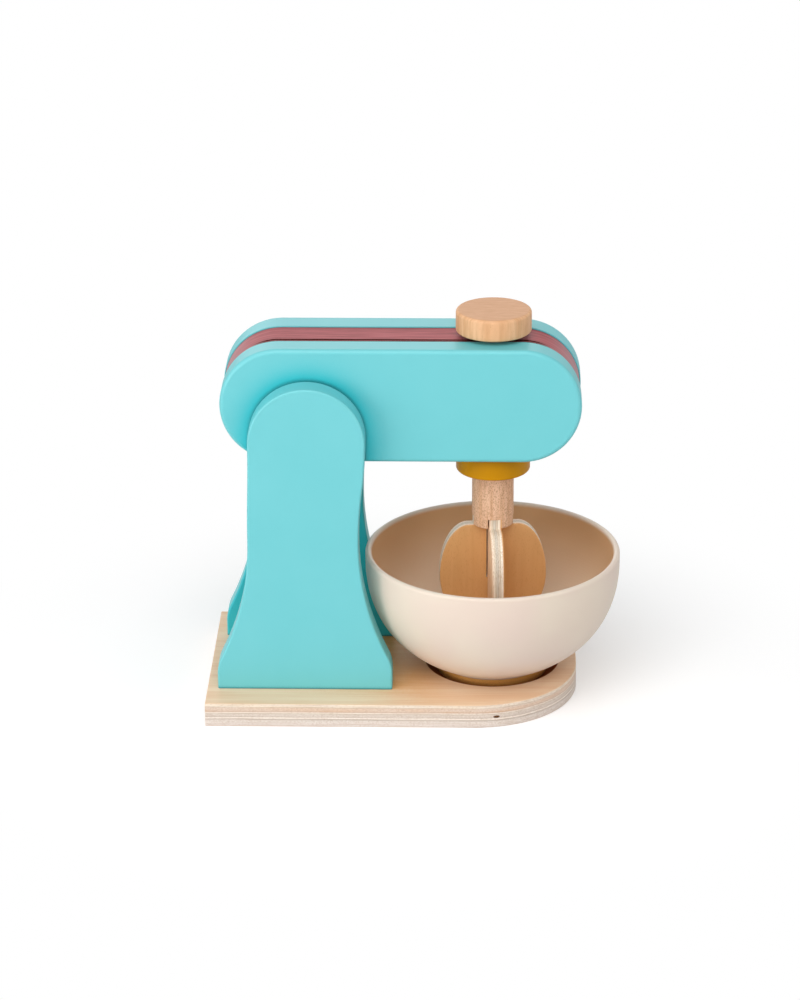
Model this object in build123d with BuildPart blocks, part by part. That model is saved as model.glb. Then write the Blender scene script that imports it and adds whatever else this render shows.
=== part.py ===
from build123d import *
import math
import os

# A wooden toy stand mixer, in millimetres. The origin is where the mixing axis meets the
# underside of the base. +X runs along the head to the bowl end, -Y is the mixer's right side
# and +Z is up.

# ---------------------------------------------------------------- driving dimensions

# Fits
RUNNING_CLEARANCE = 0.05  # radial, dowels that turn in a bore
WASHER_PLAY = 0.1  # between a washer and the face that turns past it
FACE_PLAY = 0.3  # between moving faces with no washer between them

# Bowl
BOWL_RADIUS = 62.1
BOWL_HEIGHT = 63.2
BOWL_WALL = 3.1
BOWL_STRAIGHT = 5.6  # upright band below the rim, its round lip included
BOWL_FLOOR_THICKNESS = 7.0
BOWL_FOOT_RADIUS = 26.0
BOWL_FOOT_HEIGHT = 5.4
FOOT_RING_WIDTH = 4.0
FOOT_RING_RISE = 1.5
FOOT_EDGE_RADIUS = 0.8
BELLY_SPREAD = 0.706  # how far out and up the belly's lower curve leads, as shares
BELLY_LIFT = 0.206
BELLY_HANG = 0.438  # how far down its upper curve leads, as a share of its height

# Base
BASE_THICKNESS = 12.0
BASE_WIDTH = 108.8
BASE_NOSE_REACH = 41.5
BASE_TAIL_MARGIN = 5.2
BASE_END_FLAT = 8.8  # straight edge left between the two rounded corners
BASE_EDGE_RADIUS = 0.5
RECESS_DEPTH = 4.0
RECESS_CLEARANCE = 6.3
RECESS_EDGE_RADIUS = 0.5

# Head
RIM_TO_HEAD = 54.1
HEAD_HEIGHT = 56.7
HEAD_NOSE_REACH = 42.0
HEAD_TAIL_REACH = 41.6
PLATE_THICKNESS = 14.0
PLATE_EDGE_RADIUS = 2.0
PLATE_JOINT_CHAMFER = 0.4
CORE_THICKNESS = 20.0
CORE_INSET = 0.6
CORE_EDGE_CHAMFER = 0.3
HEAD_DOWEL_RADIUS = 3.0
HEAD_DOWEL_GRIP = 8.0
HEAD_DOWEL_INSET = 17.0  # from the spindle and pivot axes, outwards

# Posts
POST_THICKNESS = 12.1
POST_FOOT_LENGTH = 84.7
POST_WAIST_LENGTH = 53.2
POST_TOE_HEIGHT = 8.0
POST_WAIST_RISE = 76.0
POST_SHOULDER_SHARE = 0.12  # part of the flare that bends outwards
POST_NECK_SHARE = 0.5  # part of the neck that bends towards the lobe
POST_LOBE_RADIUS = 27.85
POST_LOBE_LEAD = 2.2  # the lobe's centre stands this far in front of the foot's middle
POST_EDGE_RADIUS = 1.0
BOWL_TO_POST_CENTRE = 28.5
DOWEL_GRIP = 8.0  # depth of the blind dowel holes in the posts

# Pivot and stop
PIVOT_RADIUS = 5.0
PIVOT_ABOVE_UNDERSIDE = 13.7
PIVOT_WASHER_RADIUS = 11.0
PIVOT_WASHER_THICKNESS = 1.0
WASHER_BORE_CLEARANCE = 0.25
STOP_RADIUS = 5.0
STOP_LEAD = 10.0

# Fixings under the posts
SCREW_RADIUS = 1.75
SCREW_LENGTH = 30.0
SCREW_TIP_LENGTH = 4.0
SCREW_HEAD_RADIUS = 3.5
SCREW_HEAD_RECESS = 0.3
SCREW_HOLE_CLEARANCE = 0.25
SCREW_SPACING = 52.0
DRIVE_SLOT_LENGTH = 3.8
DRIVE_SLOT_WIDTH = 0.8
DRIVE_SLOT_DEPTH = 1.2
COUNTERSINK_ANGLE = 90.0
POST_DOWEL_RADIUS = 3.0
POST_DOWEL_BASE_GRIP = 7.0
POST_DOWEL_POST_GRIP = 13.0

# Spindle, knob and collar
SPINDLE_RADIUS = 6.0
SPINDLE_CHAMFER = 0.5
SHAFT_SOCKET_DEPTH = 18.0
KNOB_RADIUS = 18.1
KNOB_THICKNESS = 10.5
KNOB_TOP_RADIUS = 1.6
KNOB_BOTTOM_RADIUS = 0.8
KNOB_SOCKET_DEPTH = 7.0
KNOB_GAP = 2.2
KNOB_WASHER_RADIUS = 13.0
COLLAR_RADIUS = 17.9
COLLAR_DROP = 11.9  # from the head's underside to the collar's
COLLAR_TOP_RADIUS = 0.8
COLLAR_BOTTOM_RADIUS = 1.2
COLLAR_COUNTERBORE = 5.0

# Beater
SHAFT_RADIUS = 10.1
SHAFT_DROP = 40.3  # from the head's underside to the shaft's lower end
SHAFT_EDGE_RADIUS = 0.8
SHAFT_SLOT_DEPTH = 5.0
PADDLE_THICKNESS = 6.0
PADDLE_WIDTH = 52.2
PADDLE_HEIGHT = 51.0
PADDLE_WIDEST_DROP = 26.5  # from the shoulders to the widest place
PADDLE_SHOULDER = 12.0  # half the flat top
PADDLE_TOE = 8.0  # half the flat bottom
PADDLE_EDGE_RADIUS = 0.5
LAP_GAP = 0.7  # how much wider the slots are than a paddle
LAP_RISE = 23.0  # from the paddles' bottom to where their slots meet
BEATER_TURN = 6.0  # degrees about the mixing axis, at rest

# ---------------------------------------------------------------- places that follow

recess_floor_z = BASE_THICKNESS - RECESS_DEPTH
rim_z = recess_floor_z + BOWL_HEIGHT
head_bottom_z = rim_z + RIM_TO_HEAD
head_top_z = head_bottom_z + HEAD_HEIGHT
head_middle_z = head_bottom_z + HEAD_HEIGHT / 2
core_half = CORE_THICKNESS / 2
head_half = core_half + PLATE_THICKNESS

post_x = -(BOWL_RADIUS + BOWL_TO_POST_CENTRE)
post_inner_y = head_half + PIVOT_WASHER_THICKNESS + WASHER_PLAY
post_middle_y = post_inner_y + POST_THICKNESS / 2

pivot_x = post_x + POST_LOBE_LEAD
pivot_z = head_bottom_z + PIVOT_ABOVE_UNDERSIDE
stop_x = pivot_x + STOP_LEAD
stop_z = head_bottom_z - FACE_PLAY - STOP_RADIUS

head_length = HEAD_NOSE_REACH + HEAD_TAIL_REACH - pivot_x
head_middle_x = HEAD_NOSE_REACH - head_length / 2

base_tail_x = post_x - POST_FOOT_LENGTH / 2 - BASE_TAIL_MARGIN
base_length = BASE_NOSE_REACH - base_tail_x
base_middle_x = BASE_NOSE_REACH - base_length / 2
base_corner = (BASE_WIDTH - BASE_END_FLAT) / 2

knob_bottom_z = head_top_z + KNOB_GAP
collar_bottom_z = head_bottom_z - COLLAR_DROP
collar_top_z = head_bottom_z - FACE_PLAY
shaft_bottom_z = head_bottom_z - SHAFT_DROP
shaft_top_z = collar_bottom_z + COLLAR_COUNTERBORE
spindle_bottom_z = shaft_top_z - SHAFT_SOCKET_DEPTH
spindle_top_z = knob_bottom_z + KNOB_SOCKET_DEPTH

paddle_bottom_z = shaft_bottom_z - PADDLE_HEIGHT
paddle_widest_z = shaft_bottom_z - PADDLE_WIDEST_DROP
paddle_tab_z = shaft_bottom_z + SHAFT_SLOT_DEPTH
lap_z = paddle_bottom_z + LAP_RISE
paddle_slot = PADDLE_THICKNESS + LAP_GAP
tab_half_width = math.sqrt(SHAFT_RADIUS**2 - (paddle_slot / 2) ** 2)

head_bore = PIVOT_RADIUS + RUNNING_CLEARANCE
screw_head_height = SCREW_HEAD_RADIUS - SCREW_RADIUS
screw_tip_z = SCREW_HEAD_RECESS + SCREW_LENGTH
screw_places = [
    (post_x + along, aside)
    for along in (-SCREW_SPACING / 2, SCREW_SPACING / 2)
    for aside in (-post_middle_y, post_middle_y)
]
post_dowel_places = [(post_x, -post_middle_y), (post_x, post_middle_y)]
head_dowel_places = [
    (pivot_x - HEAD_DOWEL_INSET, head_middle_z),
    (pivot_x / 2, head_middle_z),
    (HEAD_DOWEL_INSET, head_middle_z),
]

turn = math.radians(BEATER_TURN)
across = Vector(math.cos(turn), math.sin(turn), 0)
crosswise = Vector(-math.sin(turn), math.cos(turn), 0)
across_plane = Plane(origin=(0, 0, 0), x_dir=across, z_dir=-crosswise)
# The cross paddle leans on one side of its slots.
cross_plane = Plane(origin=across * (LAP_GAP / 2), x_dir=crosswise, z_dir=across)

right_side = Plane.XZ.offset(post_inner_y)
underside = Plane(origin=(0, 0, 0), x_dir=(1, 0, 0), z_dir=(0, 0, -1))

os.makedirs("parts", exist_ok=True)


def two_arc_bend(start, end, share):
    """Two tangent arcs between upright edges, the first one `share` of the way."""
    start = Vector(start)
    end = Vector(end)
    middle = start + (end - start) * share
    first = TangentArc(start, middle, tangent=(0, 1))
    TangentArc(middle, end, tangent=first % 1)


# ---------------------------------------------------------------- base board

with BuildPart() as base_board:
    with BuildSketch() as base_outline:
        with Locations((base_middle_x, 0)):
            Rectangle(base_length, BASE_WIDTH)
        fillet(base_outline.vertices().group_by(Axis.X)[-1], base_corner)
    extrude(amount=BASE_THICKNESS)
    rims = base_board.faces().sort_by(Axis.Z)
    fillet(rims[0].edges() + rims[-1].edges(), BASE_EDGE_RADIUS)
    with BuildSketch(Plane.XY.offset(BASE_THICKNESS)):
        Circle(BOWL_FOOT_RADIUS + RECESS_CLEARANCE)
    extrude(amount=-RECESS_DEPTH, mode=Mode.SUBTRACT)
    recess_mouth = base_board.faces().sort_by(Axis.Z)[-1].edges().filter_by(GeomType.CIRCLE)
    fillet(recess_mouth.sort_by(SortBy.DISTANCE)[0], RECESS_EDGE_RADIUS)
    with Locations(underside):
        with Locations(*screw_places):
            CounterSinkHole(
                radius=SCREW_RADIUS + SCREW_HOLE_CLEARANCE,
                counter_sink_radius=SCREW_HEAD_RADIUS + SCREW_HEAD_RECESS,
                counter_sink_angle=COUNTERSINK_ANGLE,
            )
    with BuildSketch(Plane.XY.offset(BASE_THICKNESS)):
        with Locations(*post_dowel_places):
            Circle(POST_DOWEL_RADIUS)
    extrude(amount=-POST_DOWEL_BASE_GRIP, mode=Mode.SUBTRACT)
base_board.part.label = "base_board"
export_step(base_board.part, "parts/base_board.step")

# ---------------------------------------------------------------- posts

foot_half = POST_FOOT_LENGTH / 2
waist_half = POST_WAIST_LENGTH / 2
toe_z = BASE_THICKNESS + POST_TOE_HEIGHT
waist_z = BASE_THICKNESS + POST_WAIST_RISE

with BuildPart() as right_post:
    with BuildSketch(right_side):
        with BuildLine():
            for side in (-1, 1):
                toe = (post_x + side * foot_half, toe_z)
                waist = (post_x + side * waist_half, waist_z)
                neck = (pivot_x + side * POST_LOBE_RADIUS, pivot_z)
                Line((toe[0], BASE_THICKNESS), toe)
                two_arc_bend(toe, waist, POST_SHOULDER_SHARE)
                two_arc_bend(waist, neck, POST_NECK_SHARE)
            CenterArc((pivot_x, pivot_z), POST_LOBE_RADIUS, 0, 180)
            Line((post_x - foot_half, BASE_THICKNESS), (post_x + foot_half, BASE_THICKNESS))
        make_face()
    extrude(amount=POST_THICKNESS)
    broad_faces = right_post.faces().filter_by(Axis.Y)
    sole = right_post.faces().sort_by(Axis.Z)[0]
    fillet(broad_faces.edges() - sole.edges(), POST_EDGE_RADIUS)
    with BuildSketch(right_side):
        with Locations((pivot_x, pivot_z)):
            Circle(PIVOT_RADIUS)
        with Locations((stop_x, stop_z)):
            Circle(STOP_RADIUS)
    extrude(amount=DOWEL_GRIP, mode=Mode.SUBTRACT)
    with BuildSketch(Plane.XY.offset(BASE_THICKNESS)):
        with Locations(*post_dowel_places):
            Circle(POST_DOWEL_RADIUS)
    extrude(amount=POST_DOWEL_POST_GRIP, mode=Mode.SUBTRACT)
    with BuildSketch(Plane.XY.offset(BASE_THICKNESS)):
        with Locations(*screw_places):
            Circle(SCREW_RADIUS)
    extrude(amount=screw_tip_z - BASE_THICKNESS, mode=Mode.SUBTRACT)
right_post.part.label = "right_post"
export_step(right_post.part, "parts/right_post.step")

with BuildPart() as left_post:
    mirror(right_post.part, about=Plane.XZ)
left_post.part.label = "left_post"
export_step(left_post.part, "parts/left_post.step")

with BuildPart() as pivot_dowel:
    with BuildSketch(Plane.XZ):
        with Locations((pivot_x, pivot_z)):
            Circle(PIVOT_RADIUS)
    extrude(amount=post_inner_y + DOWEL_GRIP, both=True)
pivot_dowel.part.label = "pivot_dowel"
export_step(pivot_dowel.part, "parts/pivot_dowel.step")

with BuildPart() as stop_dowel:
    with BuildSketch(Plane.XZ):
        with Locations((stop_x, stop_z)):
            Circle(STOP_RADIUS)
    extrude(amount=post_inner_y + DOWEL_GRIP, both=True)
stop_dowel.part.label = "stop_dowel"
export_step(stop_dowel.part, "parts/stop_dowel.step")

with BuildPart() as pivot_washers:
    for seat_y in (post_inner_y, PIVOT_WASHER_THICKNESS - post_inner_y):
        with BuildSketch(Plane.XZ.offset(seat_y)):
            with Locations((pivot_x, pivot_z)):
                Circle(PIVOT_WASHER_RADIUS)
                Circle(PIVOT_RADIUS + WASHER_BORE_CLEARANCE, mode=Mode.SUBTRACT)
        extrude(amount=-PIVOT_WASHER_THICKNESS)
pivot_washers.part.label = "pivot_washers"
export_step(pivot_washers.part, "parts/pivot_washers.step")

# ---------------------------------------------------------------- fixings under the posts

with BuildPart() as one_screw:
    with BuildSketch(Plane.XZ):
        with BuildLine():
            Polyline(
                (0, SCREW_HEAD_RECESS),
                (SCREW_HEAD_RADIUS, SCREW_HEAD_RECESS),
                (SCREW_RADIUS, SCREW_HEAD_RECESS + screw_head_height),
                (SCREW_RADIUS, screw_tip_z - SCREW_TIP_LENGTH),
                (0, screw_tip_z),
                close=True,
            )
        make_face()
    revolve(axis=Axis.Z)
    with BuildSketch(Plane.XY.offset(SCREW_HEAD_RECESS)):
        Rectangle(DRIVE_SLOT_LENGTH, DRIVE_SLOT_WIDTH)
        Rectangle(DRIVE_SLOT_WIDTH, DRIVE_SLOT_LENGTH)
    extrude(amount=DRIVE_SLOT_DEPTH, mode=Mode.SUBTRACT)

with BuildPart() as post_screws:
    with Locations(*screw_places):
        add(one_screw.part)
post_screws.part.label = "post_screws"
export_step(post_screws.part, "parts/post_screws.step")

with BuildPart() as post_dowels:
    with BuildSketch(Plane.XY.offset(BASE_THICKNESS - POST_DOWEL_BASE_GRIP)):
        with Locations(*post_dowel_places):
            Circle(POST_DOWEL_RADIUS)
    extrude(amount=POST_DOWEL_BASE_GRIP + POST_DOWEL_POST_GRIP)
post_dowels.part.label = "post_dowels"
export_step(post_dowels.part, "parts/post_dowels.step")

# ---------------------------------------------------------------- head

with BuildPart() as head_right_plate:
    with BuildSketch(Plane.XZ.offset(core_half)):
        with Locations((head_middle_x, head_middle_z)):
            SlotOverall(head_length, HEAD_HEIGHT)
    extrude(amount=PLATE_THICKNESS)
    fillet(head_right_plate.faces().sort_by(Axis.Y)[0].edges(), PLATE_EDGE_RADIUS)
    chamfer(head_right_plate.faces().sort_by(Axis.Y)[-1].edges(), PLATE_JOINT_CHAMFER)
    with BuildSketch(Plane.XZ.offset(core_half)):
        with Locations((pivot_x, pivot_z)):
            Circle(head_bore)
    extrude(amount=PLATE_THICKNESS, mode=Mode.SUBTRACT)
    with BuildSketch(Plane.XZ.offset(core_half)):
        with Locations(*head_dowel_places):
            Circle(HEAD_DOWEL_RADIUS)
    extrude(amount=HEAD_DOWEL_GRIP, mode=Mode.SUBTRACT)
head_right_plate.part.label = "head_right_plate"
export_step(head_right_plate.part, "parts/head_right_plate.step")

with BuildPart() as head_left_plate:
    mirror(head_right_plate.part, about=Plane.XZ)
head_left_plate.part.label = "head_left_plate"
export_step(head_left_plate.part, "parts/head_left_plate.step")

with BuildPart() as head_core:
    with BuildSketch(Plane.XZ):
        with Locations((head_middle_x, head_middle_z)):
            SlotOverall(head_length - 2 * CORE_INSET, HEAD_HEIGHT - 2 * CORE_INSET)
    extrude(amount=core_half, both=True)
    chamfer(head_core.faces().filter_by(Axis.Y).edges(), CORE_EDGE_CHAMFER)
    with BuildSketch(Plane.XZ):
        with Locations((pivot_x, pivot_z)):
            Circle(head_bore)
        with Locations(*head_dowel_places):
            Circle(HEAD_DOWEL_RADIUS)
    extrude(amount=core_half, both=True, mode=Mode.SUBTRACT)
    with BuildSketch(Plane.XY.offset(head_bottom_z)):
        Circle(SPINDLE_RADIUS + RUNNING_CLEARANCE)
    extrude(amount=HEAD_HEIGHT, mode=Mode.SUBTRACT)
head_core.part.label = "head_core"
export_step(head_core.part, "parts/head_core.step")

with BuildPart() as head_dowels:
    with BuildSketch(Plane.XZ):
        with Locations(*head_dowel_places):
            Circle(HEAD_DOWEL_RADIUS)
    extrude(amount=core_half + HEAD_DOWEL_GRIP, both=True)
head_dowels.part.label = "head_dowels"
export_step(head_dowels.part, "parts/head_dowels.step")

# ---------------------------------------------------------------- spindle, knob and collar

with BuildPart() as spindle:
    with BuildSketch(Plane.XY.offset(spindle_bottom_z)):
        Circle(SPINDLE_RADIUS)
    extrude(amount=spindle_top_z - spindle_bottom_z)
    chamfer(spindle.edges().filter_by(GeomType.CIRCLE), SPINDLE_CHAMFER)
spindle.part.label = "spindle"
export_step(spindle.part, "parts/spindle.step")

with BuildPart() as knob:
    with BuildSketch(Plane.XY.offset(knob_bottom_z)):
        Circle(KNOB_RADIUS)
    extrude(amount=KNOB_THICKNESS)
    knob_rims = knob.edges().filter_by(GeomType.CIRCLE).sort_by(Axis.Z)
    fillet(knob_rims[0], KNOB_BOTTOM_RADIUS)
    fillet(knob.edges().filter_by(GeomType.CIRCLE).sort_by(Axis.Z)[-1], KNOB_TOP_RADIUS)
    with BuildSketch(Plane.XY.offset(knob_bottom_z)):
        Circle(SPINDLE_RADIUS)
    extrude(amount=KNOB_SOCKET_DEPTH, mode=Mode.SUBTRACT)
knob.part.label = "knob"
export_step(knob.part, "parts/knob.step")

with BuildPart() as knob_washer:
    with BuildSketch(Plane.XY.offset(knob_bottom_z)):
        Circle(KNOB_WASHER_RADIUS)
        Circle(SPINDLE_RADIUS + WASHER_BORE_CLEARANCE, mode=Mode.SUBTRACT)
    extrude(amount=-(KNOB_GAP - WASHER_PLAY))
knob_washer.part.label = "knob_washer"
export_step(knob_washer.part, "parts/knob_washer.step")

with BuildPart() as collar:
    with BuildSketch(Plane.XY.offset(collar_bottom_z)):
        Circle(COLLAR_RADIUS)
    extrude(amount=collar_top_z - collar_bottom_z)
    fillet(collar.edges().filter_by(GeomType.CIRCLE).sort_by(Axis.Z)[0], COLLAR_BOTTOM_RADIUS)
    fillet(collar.edges().filter_by(GeomType.CIRCLE).sort_by(Axis.Z)[-1], COLLAR_TOP_RADIUS)
    with Locations(Plane(origin=(0, 0, collar_bottom_z), z_dir=(0, 0, -1))):
        CounterBoreHole(
            radius=SPINDLE_RADIUS,
            counter_bore_radius=SHAFT_RADIUS,
            counter_bore_depth=COLLAR_COUNTERBORE,
        )
collar.part.label = "collar"
export_step(collar.part, "parts/collar.step")

# ---------------------------------------------------------------- beater

with BuildPart() as beater_shaft:
    with BuildSketch(Plane.XY.offset(shaft_bottom_z)):
        Circle(SHAFT_RADIUS)
    extrude(amount=shaft_top_z - shaft_bottom_z)
    fillet(beater_shaft.edges().filter_by(GeomType.CIRCLE).sort_by(Axis.Z)[0], SHAFT_EDGE_RADIUS)
    with BuildSketch(Plane.XY.offset(shaft_top_z)):
        Circle(SPINDLE_RADIUS)
    extrude(amount=-SHAFT_SOCKET_DEPTH, mode=Mode.SUBTRACT)
    with BuildSketch(Plane(origin=(0, 0, shaft_bottom_z), x_dir=across, z_dir=(0, 0, 1))):
        Rectangle(2 * SHAFT_RADIUS, paddle_slot)
        Rectangle(paddle_slot, 2 * SHAFT_RADIUS)
    extrude(amount=SHAFT_SLOT_DEPTH, mode=Mode.SUBTRACT)
beater_shaft.part.label = "beater_shaft"
export_step(beater_shaft.part, "parts/beater_shaft.step")

with BuildSketch() as paddle_outline:
    with BuildLine():
        Line((0, shaft_bottom_z), (PADDLE_SHOULDER, shaft_bottom_z))
        EllipticalCenterArc(
            (PADDLE_SHOULDER, paddle_widest_z),
            x_radius=PADDLE_WIDTH / 2 - PADDLE_SHOULDER,
            y_radius=shaft_bottom_z - paddle_widest_z,
            start_angle=0,
            arc_size=90,
        )
        EllipticalCenterArc(
            (PADDLE_TOE, paddle_widest_z),
            x_radius=PADDLE_WIDTH / 2 - PADDLE_TOE,
            y_radius=paddle_widest_z - paddle_bottom_z,
            start_angle=270,
            arc_size=90,
        )
        Line((PADDLE_TOE, paddle_bottom_z), (0, paddle_bottom_z))
        mirror(about=Plane.YZ)
    make_face()


def crossed_paddle(plane, slot_bottom_z, slot_top_z):
    """An oval blade with a tab for the shaft's slot and a slot for the other blade."""
    with BuildPart() as blade:
        with BuildSketch(plane):
            add(paddle_outline.sketch)
        extrude(amount=PADDLE_THICKNESS / 2, both=True)
        fillet(blade.faces().filter_by(plane).edges(), PADDLE_EDGE_RADIUS)
        with BuildSketch(plane):
            with Locations((0, shaft_bottom_z)):
                Rectangle(2 * tab_half_width, 2 * SHAFT_SLOT_DEPTH)
        extrude(amount=PADDLE_THICKNESS / 2, both=True)
        with BuildSketch(plane):
            with Locations((0, slot_bottom_z)):
                Rectangle(paddle_slot, slot_top_z - slot_bottom_z, align=(Align.CENTER, Align.MIN))
        extrude(amount=PADDLE_THICKNESS, both=True, mode=Mode.SUBTRACT)
    return blade


paddle_across = crossed_paddle(across_plane, lap_z, paddle_tab_z)
paddle_across.part.label = "paddle_across"
export_step(paddle_across.part, "parts/paddle_across.step")

paddle_cross = crossed_paddle(cross_plane, paddle_bottom_z, lap_z)
paddle_cross.part.label = "paddle_cross"
export_step(paddle_cross.part, "parts/paddle_cross.step")

# ---------------------------------------------------------------- bowl

foot_top_z = recess_floor_z + BOWL_FOOT_HEIGHT
straight_z = rim_z - BOWL_STRAIGHT
belly_height = straight_z - foot_top_z
belly_width = BOWL_RADIUS - BOWL_FOOT_RADIUS
inner_radius = BOWL_RADIUS - BOWL_WALL
bowl_floor_z = recess_floor_z + BOWL_FLOOR_THICKNESS
ring_inner_radius = BOWL_FOOT_RADIUS - FOOT_RING_WIDTH
ring_top_z = recess_floor_z + FOOT_RING_RISE
lip_radius = BOWL_WALL / 2

with BuildPart() as bowl:
    with BuildSketch(Plane.XZ):
        with BuildLine():
            Polyline(
                (0, bowl_floor_z),
                (0, ring_top_z),
                (ring_inner_radius, ring_top_z),
                (ring_inner_radius, recess_floor_z),
                (BOWL_FOOT_RADIUS, recess_floor_z),
                (BOWL_FOOT_RADIUS, foot_top_z),
            )
            Bezier(
                (BOWL_FOOT_RADIUS, foot_top_z),
                (BOWL_FOOT_RADIUS + BELLY_SPREAD * belly_width, foot_top_z + BELLY_LIFT * belly_height),
                (BOWL_RADIUS, straight_z - BELLY_HANG * belly_height),
                (BOWL_RADIUS, straight_z),
            )
            Line((BOWL_RADIUS, straight_z), (BOWL_RADIUS, rim_z - lip_radius))
            CenterArc((BOWL_RADIUS - lip_radius, rim_z - lip_radius), lip_radius, 0, 180)
            Line((inner_radius, rim_z - lip_radius), (inner_radius, straight_z))
            EllipticalCenterArc(
                (0, straight_z),
                x_radius=inner_radius,
                y_radius=straight_z - bowl_floor_z,
                start_angle=270,
                arc_size=90,
            )
        make_face()
    revolve(axis=Axis.Z)
    foot_edges = bowl.edges().filter_by(GeomType.CIRCLE).group_by(Axis.Z)[0]
    fillet(foot_edges, FOOT_EDGE_RADIUS)
bowl.part.label = "bowl"
export_step(bowl.part, "parts/bowl.step")
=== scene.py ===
import math

import bpy
import numpy as np
from mathutils import Matrix, Vector


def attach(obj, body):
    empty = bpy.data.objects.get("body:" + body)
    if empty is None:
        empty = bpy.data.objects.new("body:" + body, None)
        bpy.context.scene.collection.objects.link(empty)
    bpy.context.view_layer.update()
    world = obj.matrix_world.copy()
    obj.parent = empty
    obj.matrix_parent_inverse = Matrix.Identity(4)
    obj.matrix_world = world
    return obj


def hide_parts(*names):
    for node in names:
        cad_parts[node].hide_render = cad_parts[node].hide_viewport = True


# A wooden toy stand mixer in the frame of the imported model, in metres: the origin is where the
# mixing axis meets the underside of the base, +X runs to the bowl end and +Z is up. Profiles
# are worked out in millimetres.

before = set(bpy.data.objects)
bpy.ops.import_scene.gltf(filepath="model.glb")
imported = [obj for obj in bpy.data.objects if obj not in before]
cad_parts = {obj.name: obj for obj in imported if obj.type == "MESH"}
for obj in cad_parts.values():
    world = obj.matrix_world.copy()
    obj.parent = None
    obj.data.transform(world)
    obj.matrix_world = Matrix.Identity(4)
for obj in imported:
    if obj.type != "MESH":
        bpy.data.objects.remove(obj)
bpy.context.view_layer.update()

MM = 0.001


# ---------------------------------------------------------------- nodes and patterns

# Settings that come back: a smooth step, a mix of two colours, and a mix of the first colour
# with their product.
SMOOTH = {"interpolation_type": "SMOOTHSTEP"}
MIX = {"data_type": "RGBA"}
PRODUCT = {"data_type": "RGBA", "blend_type": "MULTIPLY"}


def limits(start, full):
    """The inputs of a step that is 0 up to start and 1 from full, on whichever side full lies."""
    return {"From Min": start, "From Max": full}


def linear(code):
    """Turns an sRGB hex colour such as "#e4c3a0" into linear red, green, blue and alpha."""
    parts = [int(code[i:i + 2], 16) / 255 for i in (1, 3, 5)]
    return [c / 12.92 if c <= 0.04045 else ((c + 0.055) / 1.055) ** 2.4 for c in parts] + [1.0]


def node(tree, kind, inputs=None, output=None, stops=None, **settings):
    """Adds a shader node with its settings and links; gives its first output or the one named.

    An input goes by its name or number and is a value or another node's output. Stops are a
    colour ramp's, each a position and a hex colour, from low to high.
    """
    new = tree.nodes.new("ShaderNode" + kind)
    for name, value in settings.items():
        setattr(new, name, value)
    for key, value in (inputs or {}).items():
        socket = [s for i, s in enumerate(new.inputs) if s.enabled and key in (i, s.name)][0]
        if isinstance(value, bpy.types.NodeSocket):
            tree.links.new(value, socket)
        else:
            socket.default_value = value
    if stops:
        band = new.color_ramp.elements
        for place, _ in stops[1:-1]:
            band.new(place)
        for element, (place, code) in zip(band, stops):
            element.position = place
            element.color = linear(code)
    outputs = [s for s in new.outputs if s.enabled and output in (None, s.name)]
    return outputs[0] if outputs else None


def new_material(name):
    """An empty material and its node tree."""
    material = bpy.data.materials.new(name)
    material.use_nodes = True
    material.node_tree.nodes.clear()
    return material, material.node_tree


def object_place(tree, turn=(0.0, 0.0, 0.0)):
    """The point on the piece in metres, turned by the given angles so a pattern can follow it."""
    place = node(tree, "TexCoord", output="Object")
    return node(tree, "Mapping", {"Vector": place, "Rotation": turn})


def blotches(tree, place, size, detail=2.0, roughness=0.5):
    """Noise from 0 to 1 whose blotches have the given sizes along X, Y and Z, in metres."""
    scaled = node(tree, "Mapping", {"Vector": place, "Scale": [1 / s for s in size]})
    return node(tree, "TexNoise", {"Vector": scaled, "Scale": 1.0, "Detail": detail,
                                   "Roughness": roughness})


def shelter(tree, reach, open_share, closed_share):
    """0 on open surfaces and 1 in corners and gaps no wider than the reach, in metres.

    The shares say how much of the space above a point is free at either end.
    """
    free = node(tree, "AmbientOcclusion", {"Distance": reach}, "AO", samples=8)
    return node(tree, "MapRange", {"Value": free, **limits(open_share, closed_share)}, **SMOOTH)


def facing(tree, axis, low, high):
    """0 to 1 as a surface turns to face along the object's own axis, either way.

    It is 0 where the normal's share along the axis is below low and 1 where it is above high.
    """
    normal = node(tree, "TexCoord", output="Normal")
    share = node(tree, "SeparateXYZ", {"Vector": normal}, axis)
    share = node(tree, "Math", {0: share}, operation="ABSOLUTE")
    return node(tree, "MapRange", {"Value": share, **limits(low, high)}, **SMOOTH)


def finish_surface(tree, colour, height, height_size, **shader):
    """The shader and its output: a colour, and a height map that is height_size metres deep."""
    bump = node(tree, "Bump", {"Height": height, "Distance": height_size, "Strength": 1.0})
    inputs = {"Base Color": colour, "Normal": bump}
    inputs.update({name.replace("_", " "): value for name, value in shader.items()})
    node(tree, "OutputMaterial", {"Surface": node(tree, "BsdfPrincipled", inputs)})


# ---------------------------------------------------------------- shapes

SAME_POINT = 1e-6
# The waver of a cut felt wall: waves round it, and where each starts in radians.
WAVES = ((23, 0.0), (37, 1.3), (61, 2.1))


def arc(centre, radius, start, end, steps=10):
    """Points round a circle in millimetres, from one angle in degrees to another."""
    angle = np.radians(np.linspace(start, end, steps + 1))
    return np.array(centre) + radius * np.column_stack([np.cos(angle), np.sin(angle)])


def run(start, end, steps=4):
    """Points on a straight line, in millimetres."""
    return np.linspace(start, end, steps + 1)


def joined(*stretches):
    """One profile out of stretches, without the points where one starts as another ends."""
    points = np.vstack(stretches)
    moved = np.linalg.norm(np.diff(points, axis=0), axis=1) > SAME_POINT
    return points[np.concatenate([[True], moved])]


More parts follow.
